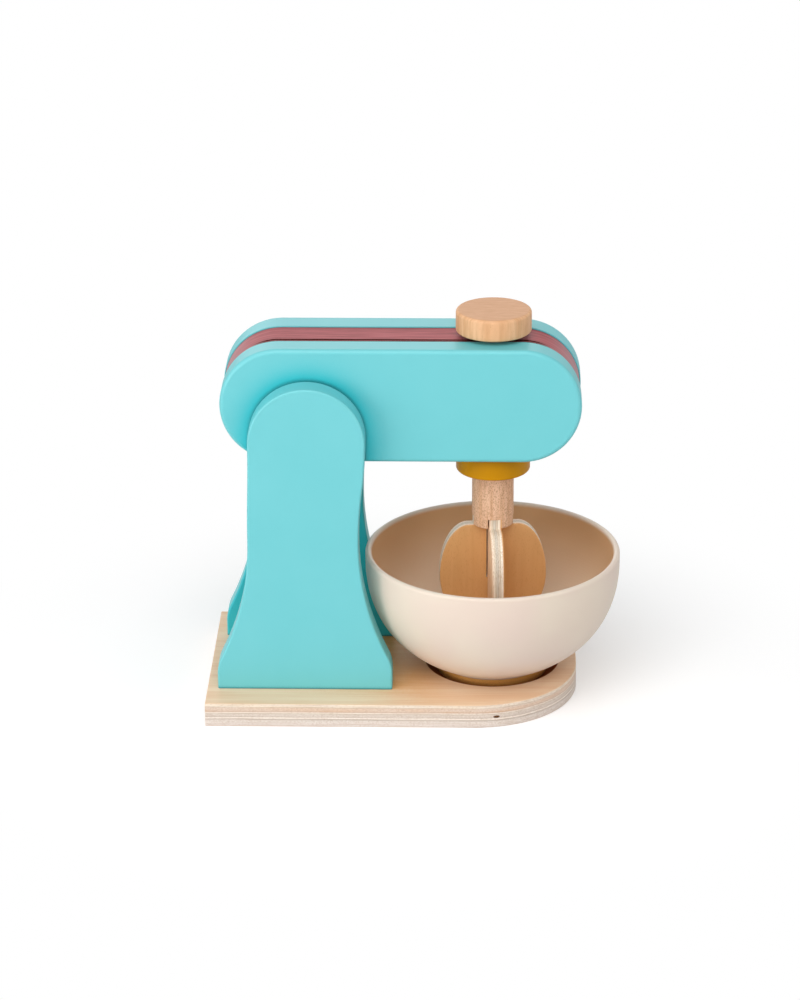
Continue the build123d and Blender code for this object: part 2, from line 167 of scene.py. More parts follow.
def new_piece(name, points, faces, body, replaced, material):
    """A smooth piece from points in millimetres; it rides on a body and replaces CAD nodes."""
    mesh = bpy.data.meshes.new(name)
    mesh.from_pydata((points * MM).tolist(), [], faces)
    mesh.shade_smooth()
    mesh.materials.append(material)
    piece = bpy.data.objects.new(name, mesh)
    bpy.context.scene.collection.objects.link(piece)
    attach(piece, body)
    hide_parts(*replaced)
    return piece


def turned(profile, steps=180, ripple=0.0):
    """Points and faces of a profile (radius, height) carried once round the Z axis.

    A point is (radius cos a, radius sin a, height). The profile runs out along the underside,
    up the wall and back over the top, so the faces point outwards. If it ends where it starts
    the surface is a ring; if not, its two ends lie on the axis and each is a single point.
    A ripple moves the outer wall in and out by that many millimetres times the sum of WAVES.
    """
    ring = np.allclose(profile[0], profile[-1])
    rows = profile[:-1] if ring else profile[1:-1]
    angle = np.linspace(0, 2 * np.pi, steps, endpoint=False)
    wave = sum(np.sin(count * angle + start) for count, start in WAVES)
    radius = rows[:, :1] + ripple * wave * (rows[:, :1] > rows[:, 0].mean())
    points = np.stack([radius * np.cos(angle), radius * np.sin(angle),
                       np.broadcast_to(rows[:, 1:], radius.shape)], axis=2).reshape(-1, 3)
    places = np.arange(len(points)).reshape(len(rows), steps)
    if ring:
        places = np.vstack([places, places[:1]])
    beside = np.roll(places, -1, axis=1)
    faces = np.stack([places[:-1], beside[:-1], beside[1:], places[1:]], axis=2)
    faces = faces.reshape(-1, 4).tolist()
    if not ring:
        low, high = len(points), len(points) + 1
        points = np.vstack([points, [[0, 0, profile[0, 1]], [0, 0, profile[-1, 1]]]])
        faces += [[low, b, a] for a, b in zip(places[0], beside[0])]
        faces += [[high, a, b] for a, b in zip(places[-1], beside[-1])]
    return points, faces


# ---------------------------------------------------------------- materials

# Patterns that come back in several materials, in metres. The rays and the finest grain are
# thinner in real wood; they are drawn this coarse so that they still show.
ORANGE_PEEL = (0.9 * MM, 0.9 * MM, 0.9 * MM)
RAY = 0.35 * MM

# How far a surface has to face along an axis to count as a flat side, as level or as one of
# the core's round ends.
FLAT_SIDE = ("Y", 0.6, 0.95)
LEVEL = ("Z", 0.85, 0.98)
CORE_ENDS = ("X", 0.35, 1.05)

# Sheltered places, where shade is painted: the reach in metres and the free shares where the
# painted shade starts and is full.
CORNER = (34 * MM, 0.95, 0.52)
GAP = (3 * MM, 0.82, 0.58)
FOOT_IN_RECESS = (12 * MM, 0.28, 0.10)
BEHIND_POSTS = (90 * MM, 0.52, 0.30)

# Distances from the middle of the toy or heights above the floor, in metres. The limits are
# where an effect starts and where it is full.
UPPER_PART = limits(60 * MM, 110 * MM)
INNER_FACE_IN = limits(24.4 * MM, 24.8 * MM)
INNER_FACE_OUT = limits(25.9 * MM, 25.4 * MM)
POST_FOOT = limits(12.7 * MM, 12.3 * MM)
HEAD_JOINT = 10.4 * MM
JOINT_FADE = 0.15 * MM
PLATE_SHADE_HALF = 0.8 * MM
CORE_SHADE, CORE_SHADE_HALF = 7.15 * MM, 0.85 * MM
LAYER_WAVER = 0.5 * MM
BOARD_HEIGHT = limits(0.25 * MM, 12.25 * MM)
TOP_FACE = limits(11.70 * MM, 11.95 * MM)
UNDERSIDE = limits(0.25 * MM, 0.05 * MM)
REAR = limits(-15 * MM, -40 * MM)
RECESS_WALL = limits(33.2 * MM, 32.9 * MM)
RECESS_FLOOR = limits(6.9 * MM, 7.1 * MM)
PADDLE_THICKNESS = limits(-3 * MM, 3 * MM)
PADDLE_FACE = limits(2.62 * MM, 2.88 * MM)

# How strong an effect gets at most. The last two are shares of a height map and of a figure.
INNER_FACE_SHARE = 0.85
SEAM_SHARE = 0.35
MARKS_SHARE = 0.58
END_SHEEN_SHARE = 0.65
RING_SHARE = 0.35
NARROW_SHARE = 0.6

# How much further the noise has to rise for a fleck of beech to show in full.
FLECK_FADE = 0.12

# On the bowl's profile, in millimetres: its lathe rings, how the inside starts and how its
# painted shade fades out, and how sharply the foot's golden brown ends.
RING_SPACING = 1.6
INNER_FADE = (-1.6, 1.2)
INNER_SHADE_FADE = 55.0
FOOT_FADE = 0.8

# Painted shade along the head's near joint, and the enamel where it is worn along an edge.
JOINT_SHADE_COLOUR = "#3c1a16"
PAINT_EDGE = "#3b8389"

# The layers of the base from its underside up, as shares of its thickness, and which of them
# have their grain across the board.
LAYERS = ((0.0, "#c9bbb3"), (0.03, "#e2d6ce"), (0.26, "#e8dfd7"), (0.30, "#d6c9be"),
          (0.335, "#c4b2a4"), (0.355, "#faf1e7"), (0.40, "#faf1e7"), (0.425, "#cbb9aa"),
          (0.46, "#e0d3c8"), (0.56, "#e2d5c9"), (0.585, "#cfbbaa"), (0.605, "#f8efe3"),
          (0.635, "#f5e9dc"), (0.655, "#cfa889"), (0.70, "#e6c8ae"), (0.83, "#ead2bd"),
          (0.855, "#d9bfa6"), (0.88, "#f8ebda"), (1.0, "#f3dfc6"))
CROSS_LAYERS = ((0.0, "#000000"), (0.20, "#000000"), (0.21, "#ffffff"), (0.30, "#ffffff"),
                (0.31, "#000000"), (0.38, "#000000"), (0.40, "#ffffff"), (0.55, "#ffffff"),
                (0.56, "#000000"), (0.63, "#000000"), (0.64, "#ffffff"), (0.83, "#ffffff"),
                (0.84, "#000000"), (1.0, "#000000"))
# The layers of a paddle from one face to the other.
PADDLE_LAYERS = ((0.0, "#efc8a0"), (0.10, "#fae0c6"), (0.24, "#fceedb"), (0.27, "#e2d0b8"),
                 (0.30, "#ecdfca"), (0.38, "#e4d8c6"), (0.42, "#cbbfad"), (0.46, "#e0d6c8"),
                 (0.54, "#dcd2c3"), (0.58, "#cdc1af"), (0.62, "#eadcc9"), (0.72, "#e6d7c2"),
                 (0.76, "#d3c0a6"), (0.79, "#fff5e8"), (1.0, "#fbe8d0"))
# The mauve of the core, from the dark of its grain to the light.
STAINED_GRAIN = ((0.30, "#7e2c31"), (0.5, "#a2454a"), (0.70, "#ba6065"))
# The open knot in the base's edge: its middle and half its size along X, Y and Z, in
# millimetres, and the squared distance over which its edge fades.
PIT = (2.4, -53.2, 5.6)
PIT_HALF = (1.75, 4.0, 0.75)
PIT_EDGE = limits(1.0, 0.6)


def enamel(name, colour, shade, painted_shade_colour, gap_shade_colour, roughness, gloss, joint=None):
    """Water-based satin enamel, sprayed on sanded wood: an even colour with a soft gloss.

    The coats leave clouds 22 mm across and a fine orange peel, and the grain under them shows
    as faint upright lines. In the upper part the flat sides turn to the shade colour in corners,
    and every flat side turns to the gap shade colour in a gap of under 3 mm: both are painted
    shade.

    The joint is the distance from the middle at which the plates meet the core. With it, the
    posts' inner faces take the shade colour too, as painted shade, the paint ends in a thin worn
    line at the joint and at the posts' foot, and a matt dark line is painted along the near joint
    on level surfaces, as painted shade in the step there.
    """
    material, tree = new_material(name)
    place = object_place(tree)
    split = node(tree, "SeparateXYZ", {"Vector": place}).node.outputs
    cloud = blotches(tree, place, (22 * MM, 22 * MM, 22 * MM))
    peel = blotches(tree, place, ORANGE_PEEL)
    grain = blotches(tree, place, (0.8 * MM, 0.8 * MM, 14 * MM))
    paint = node(tree, "Mix", {"Factor": cloud, "A": linear(colour), "B": linear(shade)}, **MIX)
    flat_side = facing(tree, *FLAT_SIDE)
    upper = node(tree, "MapRange", {"Value": split["Z"], **UPPER_PART}, **SMOOTH)
    # Painted shade: in the upper part flat sides turn to the shade colour in corners, and the
    # posts' inner faces turn to it too.
    painted_shade = node(tree, "Math", {0: shelter(tree, *CORNER), 1: flat_side}, operation="MULTIPLY")
    painted_shade = node(tree, "Math", {0: painted_shade, 1: upper}, operation="MULTIPLY")
    if joint:
        across = node(tree, "Math", {0: split["Y"]}, operation="ABSOLUTE")
        past_near = node(tree, "MapRange", {"Value": across, **INNER_FACE_IN}, **SMOOTH)
        before_far = node(tree, "MapRange", {"Value": across, **INNER_FACE_OUT}, **SMOOTH)
        inner_face = node(tree, "Math", {0: past_near, 1: before_far}, operation="MULTIPLY")
        inner_face = node(tree, "Math", {0: inner_face, 1: INNER_FACE_SHARE},
                          operation="MULTIPLY")
        painted_shade = node(tree, "Math", {0: painted_shade, 1: inner_face}, operation="MAXIMUM")
    paint = node(tree, "Mix", {"Factor": painted_shade, "A": paint, "B": linear(painted_shade_colour)}, **MIX)
    # Painted shade: flat sides in gaps under 3 mm turn to the gap shade colour.
    gap = node(tree, "Math", {0: shelter(tree, *GAP), 1: flat_side}, operation="MULTIPLY")
    paint = node(tree, "Mix", {"Factor": gap, "A": paint, "B": linear(gap_shade_colour)}, **MIX)
    if joint:
        seam = node(tree, "MapRange",
                    {"Value": across, **limits(joint + JOINT_FADE, joint)}, **SMOOTH)
        seam = node(tree, "Math", {0: seam, 1: SEAM_SHARE}, operation="MULTIPLY")
        foot = node(tree, "MapRange", {"Value": split["Z"], **POST_FOOT}, **SMOOTH)
        seam = node(tree, "Math", {0: seam, 1: foot}, operation="MAXIMUM")
        paint = node(tree, "Mix", {"Factor": seam, "A": paint, "B": linear(PAINT_EDGE)}, **MIX)
        # Painted shade: a matt dark line on level surfaces along the near joint, standing in for
        # the shade in the step between plate and core.
        joint_shade = node(tree, "Math", {0: split["Y"], 1: -joint, 2: PLATE_SHADE_HALF},
                    operation="COMPARE")
        joint_shade = node(tree, "Math", {0: joint_shade, 1: facing(tree, *LEVEL)}, operation="MULTIPLY")
        paint = node(tree, "Mix", {"Factor": joint_shade, "A": paint, "B": linear(JOINT_SHADE_COLOUR)}, **MIX)
        gloss = node(tree, "MapRange", {"Value": joint_shade, "To Min": gloss, "To Max": 0.0})
    height = node(tree, "Math", {0: peel, 1: grain}, operation="ADD")
    finish_surface(tree, paint, height, 0.012 * MM, Roughness=roughness, IOR=1.5,
                   Specular_IOR_Level=gloss)
    return material


def bowl_enamel(foot_end, inner_start):
    """The same satin enamel in cream, with painted shade on the inside of the bowl.

    The lathe leaves fine rings that can just be felt through the coats. The foot is golden
    brown, a colour that partly stands in for the shade under the belly, and it is painted darker
    brown where it stands in the recess, as painted shade. Foot_end and inner_start say how far
    along the profile the foot ends and the inside starts, in millimetres.
    """
    material, tree = new_material("cream satin enamel")
    place = object_place(tree)
    along = node(tree, "Attribute", output="Fac", attribute_name="along")
    cloud = blotches(tree, place, (38 * MM, 38 * MM, 38 * MM))
    clear_cloud = node(tree, "MapRange", {"Value": cloud, **limits(0.3, 0.7)}, **SMOOTH)
    outer_paint = node(tree, "Mix", {"Factor": clear_cloud, "A": linear("#e6d7c5"),
                                     "B": linear("#e3cfc1")}, **MIX)
    # Painted shade: the inside is darker and browner just below the rim and lighter further in.
    depth = node(tree, "MapRange",
                 {"Value": along, **limits(inner_start, inner_start + INNER_SHADE_FADE)}, **SMOOTH)
    shaded_inside = node(tree, "Mix", {"Factor": depth, "A": linear("#dcb58a"),
                                     "B": linear("#fae6d0")}, **MIX)
    clouded = node(tree, "Mix", {"Factor": 1.0, "A": shaded_inside, "B": linear("#f6efe8")},
                   **PRODUCT)
    shaded_inside = node(tree, "Mix", {"Factor": cloud, "A": shaded_inside, "B": clouded}, **MIX)
    inner = node(tree, "MapRange", {"Value": along, **limits(inner_start + INNER_FADE[0],
                                                             inner_start + INNER_FADE[1])},
                 **SMOOTH)
    paint = node(tree, "Mix", {"Factor": inner, "A": outer_paint, "B": shaded_inside}, **MIX)
    # Painted shade: the golden brown foot darkens to dark brown where it stands in the recess.
    shaded_foot = node(tree, "Mix", {"Factor": shelter(tree, *FOOT_IN_RECESS), "A": linear("#e8a352"),
                              "B": linear("#8a5529")}, **MIX)
    foot = node(tree, "MapRange", {"Value": along, **limits(foot_end, foot_end - FOOT_FADE)},
                **SMOOTH)
    paint = node(tree, "Mix", {"Factor": foot, "A": paint, "B": shaded_foot}, **MIX)
    peel = blotches(tree, place, ORANGE_PEEL)
    turn = node(tree, "Math", {0: along, 1: 2 * math.pi / RING_SPACING}, operation="MULTIPLY")
    rings = node(tree, "Math", {0: turn}, operation="SINE")
    height = node(tree, "Math", {0: rings, 1: RING_SHARE, 2: peel}, operation="MULTIPLY_ADD")
    finish_surface(tree, paint, height, 0.01 * MM, Roughness=0.42, IOR=1.5)
    return material


def turned_wood(name, light, dark, fleck, end, band, fleck_share):
    """Beech with its grain along Z: upright streaks outside, dashes across the end grain.

    The band gives the growth streaks' size across in X and in Y. The short darker specks are
    the wood's rays, more of them the lower fleck_share is. The cut ends have drunk more oil
    and are darker.
    """
    material, tree = new_material(name)
    place = object_place(tree)
    growth = blotches(tree, place, (band[0], band[1], 45 * MM))
    growth = node(tree, "MapRange", {"Value": growth, **limits(0.3, 0.7)}, **SMOOTH)
    streaks = blotches(tree, place, (0.6 * band[0], 0.6 * band[1], 11 * MM))
    streaks = node(tree, "MapRange", {"Value": streaks, **limits(0.45, 0.75)}, **SMOOTH)
    rays = blotches(tree, place, (RAY, RAY, 0.9 * MM), 1.0)
    rays = node(tree, "MapRange",
                {"Value": rays, **limits(fleck_share, fleck_share + FLECK_FADE)}, **SMOOTH)
    wood = node(tree, "Mix", {"Factor": growth, "A": linear(light), "B": linear(dark)}, **MIX)
    for mask, share, colour in ((streaks, 0.4, fleck), (rays, 0.7, fleck),
                                (facing(tree, *LEVEL), 0.55, end)):
        darker = node(tree, "Mix", {"Factor": share, "A": wood, "B": linear(colour)}, **MIX)
        wood = node(tree, "Mix", {"Factor": mask, "A": wood, "B": darker}, **MIX)
    finish_surface(tree, wood, rays, -0.015 * MM, Roughness=0.55, IOR=1.5)
    return material


def plywood_board():
    """Birch plywood, 12 mm: flat layers whose grain runs along X and along Y by turns.

    Sanded and clear-lacquered. The faces are pale orange with long soft figure, with painted
    shade between the posts and behind the bowl: warmer and darker where they are sheltered. At
    the edges the layers show as bands: long streaks where the grain runs with the edge, darker
    specks where it is cut across, and thin pale layers and lines of adhesive between them. The
    recess is matt and painted dark brown, as painted shade.
    """
    material, tree = new_material("birch plywood")
    place = object_place(tree)
    split = node(tree, "SeparateXYZ", {"Vector": place}).node.outputs

    # The layers, and how their grain and pores are drawn at the edges.
    waver = blotches(tree, place, (18 * MM, 18 * MM, 6 * MM))
    level = node(tree, "Math", {0: waver, 1: LAYER_WAVER, 2: split["Z"]},
                 operation="MULTIPLY_ADD")
    level = node(tree, "MapRange", {"Value": level, **BOARD_HEIGHT})
    layers = node(tree, "ValToRGB", {"Fac": level}, stops=LAYERS)
    crossing = node(tree, "ValToRGB", {"Fac": level}, stops=CROSS_LAYERS)
    long_grain = blotches(tree, place, (26 * MM, 1.6 * MM, RAY), 3.0)
    cross_grain = blotches(tree, place, (0.6 * MM, 26 * MM, RAY), 3.0)
    grain = node(tree, "Mix", {"Factor": crossing, "A": long_grain, "B": cross_grain}, **MIX)
    grain = node(tree, "MapRange", {"Value": grain, **limits(0.35, 0.75)}, **SMOOTH)
    patches = blotches(tree, place, (30 * MM, 30 * MM, 1.5 * MM))
    patches = node(tree, "MapRange", {"Value": patches, **limits(0.40, 0.62)}, **SMOOTH)
    greyer = node(tree, "Mix", {"Factor": 0.4, "A": layers, "B": linear("#e8dcd2")}, **MIX)
    layers = node(tree, "Mix", {"Factor": patches, "A": layers, "B": greyer}, **MIX)
    pores = blotches(tree, place, (0.7 * MM, 0.7 * MM, RAY))
    pores = node(tree, "MapRange", {"Value": pores, **limits(0.53, 0.64)}, **SMOOTH)
    marks = node(tree, "Math", {0: grain, 1: pores}, operation="MAXIMUM")
    marks = node(tree, "Math", {0: marks, 1: MARKS_SHARE}, operation="MULTIPLY")
    marked = node(tree, "Mix", {"Factor": 1.0, "A": layers, "B": linear("#cdb7a4")}, **PRODUCT)
    wood = node(tree, "Mix", {"Factor": marks, "A": layers, "B": marked}, **MIX)

    # The faces.
    wide = blotches(tree, place, (70 * MM, 7 * MM, 7 * MM), 3.0)
    narrow = blotches(tree, place, (28 * MM, 0.9 * MM, 0.9 * MM))
    figure = node(tree, "Math", {0: narrow, 1: NARROW_SHARE, 2: wide},
                  operation="MULTIPLY_ADD")
    figure = node(tree, "MapRange", {"Value": figure, **limits(0.45, 1.15)}, **SMOOTH)
    face = node(tree, "Mix", {"Factor": figure, "A": linear("#f3d7b8"),
                              "B": linear("#e8c09a")}, **MIX)
    top = node(tree, "MapRange", {"Value": split["Z"], **TOP_FACE}, **SMOOTH)
    underside = node(tree, "MapRange", {"Value": split["Z"], **UNDERSIDE}, **SMOOTH)
    on_face = node(tree, "Math", {0: top, 1: underside}, operation="MAXIMUM")
    wood = node(tree, "Mix", {"Factor": on_face, "A": wood, "B": face}, **MIX)
    # Painted shade: sheltered parts of the faces towards the rear turn warmer and darker.
    rear = node(tree, "MapRange", {"Value": split["X"], **REAR}, **SMOOTH)
    rear = node(tree, "Math", {0: rear, 1: on_face}, operation="MULTIPLY")
    rear_shade = node(tree, "Math", {0: shelter(tree, *BEHIND_POSTS), 1: rear}, operation="MULTIPLY")
    warmer = node(tree, "Mix", {"Factor": 1.0, "A": wood, "B": linear("#efcb9a")}, **PRODUCT)
    wood = node(tree, "Mix", {"Factor": rear_shade, "A": wood, "B": warmer}, **MIX)

    # The recess, painted dark brown as shade, and the open knot.
    flat = node(tree, "VectorMath", {0: place, 1: (1.0, 1.0, 0.0)}, operation="MULTIPLY")
    from_axis = node(tree, "VectorMath", {0: flat}, operation="LENGTH")
    within = node(tree, "MapRange", {"Value": from_axis, **RECESS_WALL}, **SMOOTH)
    above = node(tree, "MapRange", {"Value": split["Z"], **RECESS_FLOOR}, **SMOOTH)
    recess = node(tree, "Math", {0: within, 1: above}, operation="MULTIPLY")
    wood = node(tree, "Mix", {"Factor": recess, "A": wood, "B": linear("#84400f")}, **MIX)
    wood = node(tree, "Mix", {"Factor": pit_mask(tree, split), "A": wood,
                              "B": linear("#5c3818")}, **MIX)
    dull = node(tree, "MapRange", {"Value": recess, "To Min": 0.5, "To Max": 1.0})
    finish_surface(tree, wood, grain, 0.02 * MM, Roughness=dull, IOR=1.5, Specular_IOR_Level=0.25)
    return material


def pit_mask(tree, split):
    """1 inside the small open knot in the front edge, 0 elsewhere.

    The knot is an ellipsoid: the squares of the distances along X, Y and Z from its middle,
    each as a share of its half size, add up to less than 1.
    """
    total = 0.0
    for axis, middle, half in zip("XYZ", PIT, PIT_HALF):
        off = node(tree, "Math", {0: split[axis], 1: middle * MM}, operation="SUBTRACT")
        share = node(tree, "Math", {0: off, 1: half * MM}, operation="DIVIDE")
        square = node(tree, "Math", {0: share, 1: 2.0}, operation="POWER")
        total = node(tree, "Math", {0: total, 1: square}, operation="ADD")
    return node(tree, "MapRange", {"Value": total, **PIT_EDGE})


def paddle_plywood(name, turn):
    """Beech-faced plywood, 6 mm: golden faces with fine upright grain, pale striped edges."""
    material, tree = new_material(name)
    place = object_place(tree, turn)
    through = node(tree, "SeparateXYZ", {"Vector": place}, "Y")
    lines = blotches(tree, place, (RAY, RAY, 9 * MM), 3.0)
    lines = node(tree, "MapRange", {"Value": lines, **limits(0.4, 0.8)}, **SMOOTH)
    across = node(tree, "MapRange", {"Value": through, **PADDLE_THICKNESS})
    layers = node(tree, "ValToRGB", {"Fac": across}, stops=PADDLE_LAYERS)
    lined = node(tree, "Mix", {"Factor": 1.0, "A": layers, "B": linear("#d8c4ae")}, **PRODUCT)
    edge = node(tree, "Mix", {"Factor": lines, "A": layers, "B": lined}, **MIX)
    growth = blotches(tree, place, (2.2 * MM, 2.2 * MM, 30 * MM), 3.0)
    fleck = blotches(tree, place, (RAY, RAY, 1.1 * MM), 1.0)
    fleck = node(tree, "MapRange", {"Value": fleck, **limits(0.60, 0.72)}, **SMOOTH)
    face = node(tree, "Mix", {"Factor": growth, "A": linear("#e2ad73"),
                              "B": linear("#d59c5e")}, **MIX)
    face = node(tree, "Mix", {"Factor": fleck, "A": face, "B": linear("#d39a5e")}, **MIX)
    depth = node(tree, "Math", {0: through}, operation="ABSOLUTE")
    on_face = node(tree, "MapRange", {"Value": depth, **PADDLE_FACE}, **SMOOTH)
    wood = node(tree, "Mix", {"Factor": on_face, "A": edge, "B": face}, **MIX)
    finish_surface(tree, wood, growth, 0.02 * MM, Roughness=0.55, IOR=1.5)
    return material


def stained_core():
    """Mauve stain on a core of upright layers, which show as lines along it.

    The round ends are painted a paler pink, as a painted sheen, and a matt dark line is painted
    near the near joint, as painted shade.
    """
    material, tree = new_material("mauve wood stain")
    place = object_place(tree)
    grain = blotches(tree, place, (30 * MM, 1.5 * MM, 30 * MM), 4.0, 0.65)
    wood = node(tree, "ValToRGB", {"Fac": grain}, stops=STAINED_GRAIN)
    # Painted sheen: the round ends turn a paler pink.
    ends = node(tree, "Math", {0: facing(tree, *CORE_ENDS), 1: END_SHEEN_SHARE},
                operation="MULTIPLY")
    wood = node(tree, "Mix", {"Factor": ends, "A": wood, "B": linear("#bc9ca1")}, **MIX)
    through = node(tree, "SeparateXYZ", {"Vector": place}, "Y")
    # Painted shade: a matt dark line on level surfaces near the near joint, standing in for the
    # shade in the step below the front plate.
    joint_shade = node(tree, "Math", {0: through, 1: -CORE_SHADE, 2: CORE_SHADE_HALF},
                operation="COMPARE")
    joint_shade = node(tree, "Math", {0: joint_shade, 1: facing(tree, *LEVEL)}, operation="MULTIPLY")
    wood = node(tree, "Mix", {"Factor": joint_shade, "A": wood, "B": linear(JOINT_SHADE_COLOUR)}, **MIX)
    shine = node(tree, "MapRange", {"Value": joint_shade, "To Min": 0.3, "To Max": 0.0})
    finish_surface(tree, wood, grain, 0.03 * MM, Roughness=0.5, IOR=1.5, Specular_IOR_Level=shine)
    return material


def wool_felt():
    """Pressed wool felt: matt grey-beige with short matted fibres and a soft sheen."""
    material, tree = new_material("pressed wool felt")
    fibres = blotches(tree, object_place(tree), (0.25 * MM, 0.25 * MM, 0.25 * MM), 4.0, 0.7)
    wool = node(tree, "Mix", {"Factor": fibres, "A": linear("#6f675c"),
                              "B": linear("#a39a8c")}, **MIX)
    finish_surface(tree, wool, fibres, 0.15 * MM, Roughness=0.95, Sheen_Weight=0.4)
    return material


def plated_steel():
    """Zinc-plated steel screws: bright grey metal, a little dulled."""
    material, tree = new_material("zinc plated steel")
    dulling = blotches(tree, object_place(tree), (0.6 * MM, 0.6 * MM, 0.6 * MM), 3.0)
    zinc = node(tree, "Mix", {"Factor": dulling, "A": linear("#c4c8cb"),
                              "B": linear("#a8acb0")}, **MIX)
    finish_surface(tree, zinc, dulling, 0.01 * MM, Roughness=0.34, Metallic=1.0)
    return material


def dress(names, material):
    """Gives CAD nodes a material through their objects' own slots, so their meshes stay."""
    for name in names:
        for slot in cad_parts[name].material_slots:
            slot.link = "OBJECT"
            slot.material = material


teal = enamel("teal satin enamel", "#70c9cf", "#69c5cb", "#00bac4", "#2f9aa2", 0.42, 0.55,
              HEAD_JOINT)
mustard = enamel("mustard satin enamel", "#cd8e02", "#c58700", "#a86c00", "#8a5a00", 0.33, 0.12)
beech = turned_wood("beech", "#f0c7a6", "#e4b58f", "#b07c54", "#dcac86",
                    (2.4 * MM, 2.4 * MM), 0.52)
knob_beech = turned_wood("oiled beech", "#e8b88c", "#daa577", "#c08a5c", "#cf9b75",
                         (6.5 * MM, 1.4 * MM), 0.66)
felt = wool_felt()

# The paddles' grain and layers follow each paddle, which is turned about Z.
ACROSS_TURN = (0, 0, math.radians(-6))
CROSSING_TURN = (0, 0, math.radians(84))
dress(["right_post", "left_post", "head_right_plate", "head_left_plate"], teal)
dress(["head_core"], stained_core())
dress(["post_screws"], plated_steel())
dress(["spindle", "beater_shaft", "pivot_dowel", "stop_dowel", "post_dowels", "head_dowels"], beech)
dress(["paddle_across"], paddle_plywood("paddle plywood, across", ACROSS_TURN))
dress(["paddle_cross"], paddle_plywood("paddle plywood, crossing", CROSSING_TURN))
dress(["base_board"], plywood_board())


# ---------------------------------------------------------------- turned pieces

# The bowl, in millimetres. Its belly is a Bezier curve from the foot to the straight part of
# the wall, drawn towards two guide points, and its inside is a quarter of an ellipse.
FOOT_RADIUS, FOOT_RING, FOOT_EDGE = 27.4, 5.0, 0.8
SEAT_Z, RING_RISE, FOOT_TOP_Z = 8.0, 1.5, 13.4
WALL_RADIUS, STRAIGHT_Z, RIM_Z, LIP = 62.1, 65.6, 71.2, 1.55
BELLY_GUIDES = ((51.49, 24.15), (62.1, 42.74))
BELLY_POINTS, INSIDE_STEPS, BOWL_STEPS = 61, 60, 240
INNER_RADIUS, INNER_DEPTH = 59.0, 50.6
RIM_TO_INSIDE = 1.9

t = np.linspace(0, 1, BELLY_POINTS)[:, None]
ends = [(FOOT_RADIUS, FOOT_TOP_Z), *BELLY_GUIDES, (WALL_RADIUS, STRAIGHT_Z)]
weights = ((1 - t) ** 3, 3 * t * (1 - t) ** 2, 3 * t ** 2 * (1 - t), t ** 3)
belly = sum(weight * np.array(end) for weight, end in zip(weights, ends))
quarter = arc((0, 0), 1, 0, -90, INSIDE_STEPS)
ring_radius = FOOT_RADIUS - FOOT_RING
outside = joined(
    run((0, SEAT_Z + RING_RISE), (ring_radius, SEAT_Z + RING_RISE), 8),
    run((ring_radius, SEAT_Z + RING_RISE), (ring_radius, SEAT_Z)),
    run((ring_radius, SEAT_Z), (FOOT_RADIUS - FOOT_EDGE, SEAT_Z)),
    arc((FOOT_RADIUS - FOOT_EDGE, SEAT_Z + FOOT_EDGE), FOOT_EDGE, -90, 0),
    run((FOOT_RADIUS, SEAT_Z + FOOT_EDGE), (FOOT_RADIUS, FOOT_TOP_Z)),
    belly,
    run((WALL_RADIUS, STRAIGHT_Z), (WALL_RADIUS, RIM_Z - LIP)),
    arc((WALL_RADIUS - LIP, RIM_Z - LIP), LIP, 0, 90))
inside = joined(
    arc((WALL_RADIUS - LIP, RIM_Z - LIP), LIP, 90, 180),
    run((INNER_RADIUS, RIM_Z - LIP), (INNER_RADIUS, STRAIGHT_Z)),
    quarter * (INNER_RADIUS, INNER_DEPTH) + (0, STRAIGHT_Z))
bowl_profile = joined(outside, inside)
bowl_profile[-1, 0] = 0.0
along = np.concatenate([[0], np.cumsum(np.linalg.norm(np.diff(bowl_profile, axis=0), axis=1))])
inner_start = float(along[len(outside)] + RIM_TO_INSIDE)
foot_end = float(along[np.argmin(np.abs(bowl_profile[:len(outside), 1] - FOOT_TOP_Z))])

points, faces = turned(bowl_profile, BOWL_STEPS)
bowl = new_piece("turned_bowl", points, faces, "bowl", ["bowl"],
                 bowl_enamel(foot_end, inner_start))
distance = bowl.data.attributes.new("along", "FLOAT", "POINT")
distance.data.foreach_set("value", np.concatenate(
    [np.repeat(along[1:-1], BOWL_STEPS), along[[0, -1]]]).astype(np.float32))

# The knob: a disc with a socket for the spindle, in millimetres.
SPINDLE_RADIUS, SPINDLE_TOP_Z = 6.0, 191.2
KNOB_RADIUS, KNOB_LOW_Z, KNOB_HIGH_Z = 18.1, 184.2, 194.7
KNOB_LOW_EDGE, KNOB_HIGH_EDGE = 0.8, 1.6
knob_low, knob_high = KNOB_RADIUS - KNOB_LOW_EDGE, KNOB_RADIUS - KNOB_HIGH_EDGE
knob_profile = joined(
    run((0, SPINDLE_TOP_Z), (SPINDLE_RADIUS, SPINDLE_TOP_Z)),
    run((SPINDLE_RADIUS, SPINDLE_TOP_Z), (SPINDLE_RADIUS, KNOB_LOW_Z)),
    run((SPINDLE_RADIUS, KNOB_LOW_Z), (knob_low, KNOB_LOW_Z)),
    arc((knob_low, KNOB_LOW_Z + KNOB_LOW_EDGE), KNOB_LOW_EDGE, -90, 0),
    run((KNOB_RADIUS, KNOB_LOW_Z + KNOB_LOW_EDGE), (KNOB_RADIUS, KNOB_HIGH_Z - KNOB_HIGH_EDGE)),
    arc((knob_high, KNOB_HIGH_Z - KNOB_HIGH_EDGE), KNOB_HIGH_EDGE, 0, 90),
    run((knob_high, KNOB_HIGH_Z), (0, KNOB_HIGH_Z), 12))
points, faces = turned(knob_profile)
new_piece("turned_knob", points, faces, "beater", ["knob"], knob_beech)

